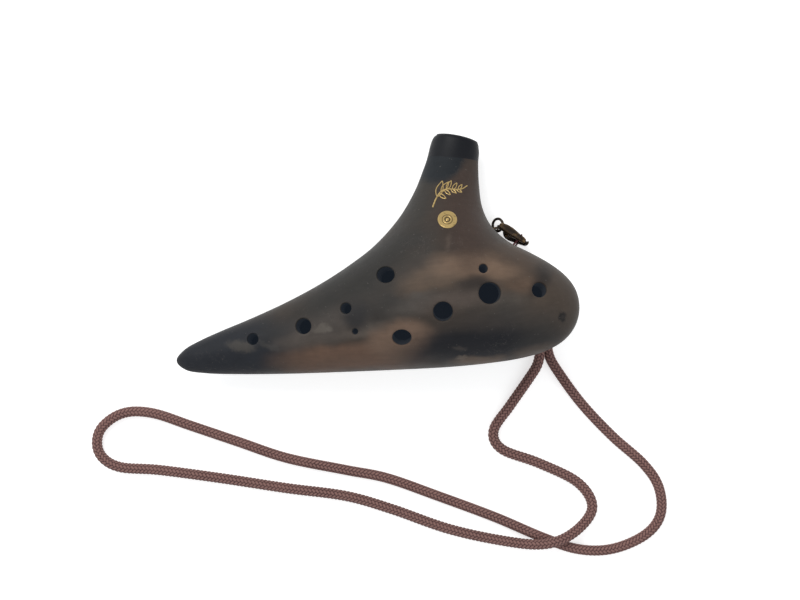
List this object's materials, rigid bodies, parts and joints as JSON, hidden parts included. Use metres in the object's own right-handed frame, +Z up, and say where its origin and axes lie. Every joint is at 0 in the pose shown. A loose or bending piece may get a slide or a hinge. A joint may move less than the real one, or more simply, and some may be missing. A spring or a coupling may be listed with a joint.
{
  "type": "ocarina",
  "caption": "Transverse clay ocarina, hollow, with finger and thumb holes, a mouthpiece with windway and window, and a braided neck cord on a sprung clasp.",
  "frame": {"origin": "on the table under the middle of the box round everything but the neck cord and its end cap", "axes": "+X towards the rounded bulb end, +Y towards the mouthpiece, +Z up out of the finger-hole face; the ocarina lies on its back"},
  "size_m": [0.2498, 0.1825, 0.0496],
  "materials": {
    "smoke_fired_clay": "burnished, smoke-clouded satin",
    "dark_red_thread": "twisted thread",
    "antique_bronze": "darkened bronze plating",
    "maroon_braid": "round herringbone braid"
  },
  "bodies": {
    "ocarina": {"front_shell": "smoke_fired_clay", "back_shell": "smoke_fired_clay", "strap_lug": "smoke_fired_clay", "thread_loop": "dark_red_thread", "end_cap": "antique_bronze", "neck_cord": "maroon_braid"},
    "clasp": {"clasp_body": "antique_bronze", "clasp_pin": "antique_bronze"},
    "trigger": {"clasp_trigger": "antique_bronze"},
    "ring": {"jump_ring": "antique_bronze"}
  },
  "joints": [
    {"name": "clasp_turn", "type": "hinge", "parent": "ocarina", "child": "clasp", "pos_m": [0.05413, 0.01098, 0.0056], "axis": [0.843, -0.5301, -0.0912], "range_deg": [-3, 10]},
    {"name": "trigger_press", "type": "hinge", "parent": "clasp", "child": "trigger", "pos_m": [0.05703, 0.00939, 0.00644], "axis": [0.5107, 0.842, -0.1736], "range_deg": [0, 14], "stiffness_Nm_per_rad": 0.004, "springref_deg": -17.19},
    {"name": "ring_turn", "type": "hinge", "parent": "ocarina", "child": "ring", "pos_m": [0.05419, 0.01098, 0.00575], "axis": [-0.7507, -0.1994, -0.6299], "range_deg": [0, 25]}
  ]
}
